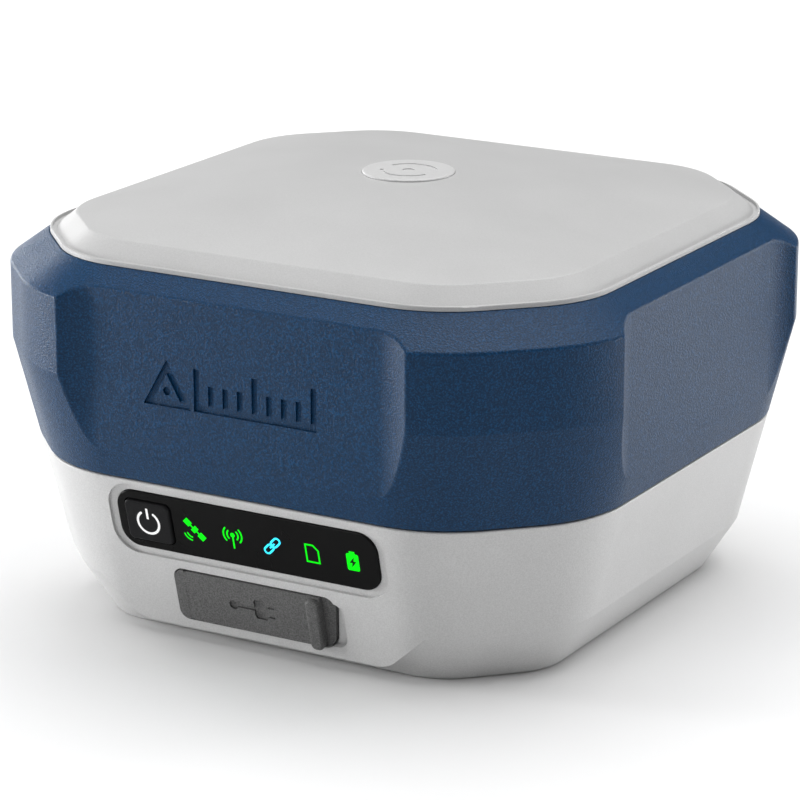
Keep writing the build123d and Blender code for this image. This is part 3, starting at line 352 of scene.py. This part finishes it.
world = bpy.data.worlds.new("studio")
world.use_nodes = True
world.node_tree.nodes["Background"].inputs["Color"].default_value = (1, 1, 1, 1)
world.node_tree.nodes["Background"].inputs["Strength"].default_value = 0.1
scene.world = world

AIM = Vector((0, 0, 0.045))


def softbox(name, heading, height, distance, size, power):
    """A rectangular area light aimed at the receiver, heading in degrees from +X towards +Y."""
    data = bpy.data.lights.new(name, "AREA")
    data.shape = "RECTANGLE"
    data.size, data.size_y = size
    data.energy = power
    lamp = bpy.data.objects.new(name, data)
    lamp.location = (distance * cos(radians(heading)), distance * sin(radians(heading)), height)
    lamp.rotation_euler = (AIM - lamp.location).to_track_quat("-Z", "Y").to_euler()
    scene.collection.objects.link(lamp)


softbox("top_light", 90, 2.4, 0.5, (3.2, 3.2), 100.0)
softbox("right_light", 14, 0.09, 0.7, (0.12, 0.16), 0.55)
softbox("right_back_light", 52, 0.09, 0.7, (0.12, 0.16), 1.5)
softbox("left_light", 200, 0.09, 0.8, (0.14, 0.16), 4.8)
softbox("left_back_light", 155, 0.14, 0.9, (0.3, 0.25), 1.7)
softbox("front_light", 250, 0.9, 1.2, (0.8, 0.5), 3.4)

# ------------------------------------------------------------------ floor


def pale_floor():
    """A plain, almost white studio floor."""
    material, nodes, links, shader = new_material("floor_white")
    cloud = noise(nodes, links, coordinates(nodes, links), 6.0)
    tone = ramp(nodes, links, cloud, ((0.3, grey(0.80)), (0.7, grey(0.83))))
    links.new(tone, shader.inputs["Base Color"])
    shader.inputs["Roughness"].default_value = 0.7
    mesh = bmesh.new()
    bmesh.ops.create_grid(mesh, x_segments=40, y_segments=40, size=6.0)
    data = bpy.data.meshes.new("floor")
    mesh.to_mesh(data)
    mesh.free()
    data.materials.append(material)
    floor = bpy.data.objects.new("floor", data)
    scene.collection.objects.link(floor)


pale_floor()

# ------------------------------------------------------------------ threaded insert

THREAD_PITCH = 25.4 / 11 * MM
THREAD_MINOR_R = 6.75 * MM
THREAD_DEPTH = 1.15 * MM
THREAD_MOUTH = 0.8 * MM
GROOVE_SHARE = 2 / 2.3
INSERT_CHAMFER = 0.3 * MM


def thread_insert():
    """Brass insert with a 5/8 inch 11 TPI thread cut outwards from its minor diameter."""
    low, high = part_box("pole_insert")
    outer = (high.x - low.x) / 2
    first_thread = low.z + THREAD_MOUTH
    steps = 96
    rows = 64
    mesh = bmesh.new()

    def ring(radii, height):
        """One ring of points at a height, a radius for each step round it."""
        return [
            mesh.verts.new((radius * cos(tau * step / steps), radius * sin(tau * step / steps), height))
            for step, radius in enumerate(radii)
        ]

    def threaded(height):
        """The thread's radii at a height: a V groove that runs out at both ends."""
        above = (height - low.z) / THREAD_PITCH
        below = (high.z - height) / THREAD_PITCH
        depth = THREAD_DEPTH * min(1, above, below)
        for step in range(steps):
            off_groove = abs((above - step / steps) % 1 - 0.5)
            yield THREAD_MINOR_R + depth * max(0, 1 - 2 * off_groove / GROOVE_SHARE)

    rings = []
    for row in range(rows, -1, -1):
        height = first_thread + (high.z - first_thread) * row / rows
        rings.append(ring(threaded(height), height))
    for radius, height in (
        (THREAD_MINOR_R + THREAD_MOUTH, low.z),
        (outer - INSERT_CHAMFER, low.z),
        (outer, low.z + INSERT_CHAMFER),
        (outer, high.z),
    ):
        rings.append(ring([radius] * steps, height))
    for first, second in zip(rings, rings[1:] + rings[:1]):
        for step in range(steps):
            following = (step + 1) % steps
            mesh.faces.new((first[step], first[following], second[following], second[step]))
    piece = make_piece("pole_thread_insert", mesh, "brass")
    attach(piece, "housing")
    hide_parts("pole_insert")


thread_insert()

# ------------------------------------------------------------------ port cover hinge strip

SKIN_REACH = 0.75 * MM
SKIN_HALF_HEIGHT = 5.2 * MM
SKIN_FRONT = -0.02 * MM
SKIN_THICK = 0.45 * MM


def hinge_strip():
    """The rubber skin that joins the port cover to its fixed end, built as a flat strip."""
    across = 16
    along = 24
    mesh = bmesh.new()

    def layer(depth):
        """A grid of points over the skin at a depth, in columns from left to right."""
        return [
            [
                mesh.verts.new(
                    HINGE
                    + ACROSS * SKIN_REACH * (2 * i / across - 1)
                    + UP_SLOPE * SKIN_HALF_HEIGHT * (2 * j / along - 1)
                    + OUTWARD * depth
                )
                for j in range(along + 1)
            ]
            for i in range(across + 1)
        ]

    front = layer(SKIN_FRONT)
    back = layer(SKIN_FRONT - SKIN_THICK)
    for face in (front, back):
        for i in range(across):
            for j in range(along):
                mesh.faces.new((face[i][j], face[i + 1][j], face[i + 1][j + 1], face[i][j + 1]))
    for i in range(across):
        for j in (0, along):
            mesh.faces.new((front[i][j], front[i + 1][j], back[i + 1][j], back[i][j]))
    for j in range(along):
        for i in (0, across):
            mesh.faces.new((front[i][j], front[i][j + 1], back[i][j + 1], back[i][j]))
    piece = make_piece("port_cover_hinge", mesh, "port_rubber")
    piece.data.shade_smooth()
    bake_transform(piece)


hinge_strip()

# ------------------------------------------------------------------ socket contacts

CONTACTS_PER_FACE = 12
CONTACT_PITCH = 0.5 * MM
CONTACT_OFFSET = 0.36 * MM
CONTACT_FORWARD = 0.9 * MM
CONTACT_SIZE = Vector((0.25, 0.06, 3.6)) * MM
CONTACT_BEVEL = 0.015 * MM


def socket_contacts():
    """Gilt contacts on both faces of the socket's tongue."""
    low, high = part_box("socket_tongue")
    centre = (low + high) / 2 + OUTWARD * CONTACT_FORWARD
    mesh = bmesh.new()
    for side in (-1, 1):
        for index in range(CONTACTS_PER_FACE):
            shift = (index - (CONTACTS_PER_FACE - 1) / 2) * CONTACT_PITCH
            place = centre + ACROSS * shift + UP_SLOPE * side * CONTACT_OFFSET
            for vertex in bmesh.ops.create_cube(mesh, size=1.0)["verts"]:
                local = vertex.co.copy()
                vertex.co = (
                    place
                    + ACROSS * local.x * CONTACT_SIZE.x
                    + UP_SLOPE * local.y * CONTACT_SIZE.y
                    + OUTWARD * local.z * CONTACT_SIZE.z
                )
    bmesh.ops.bevel(mesh, geom=mesh.edges[:], offset=CONTACT_BEVEL, segments=1, affect="EDGES")
    piece = make_piece("socket_contacts", mesh, "gold_plate")
    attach(piece, "housing")


socket_contacts()
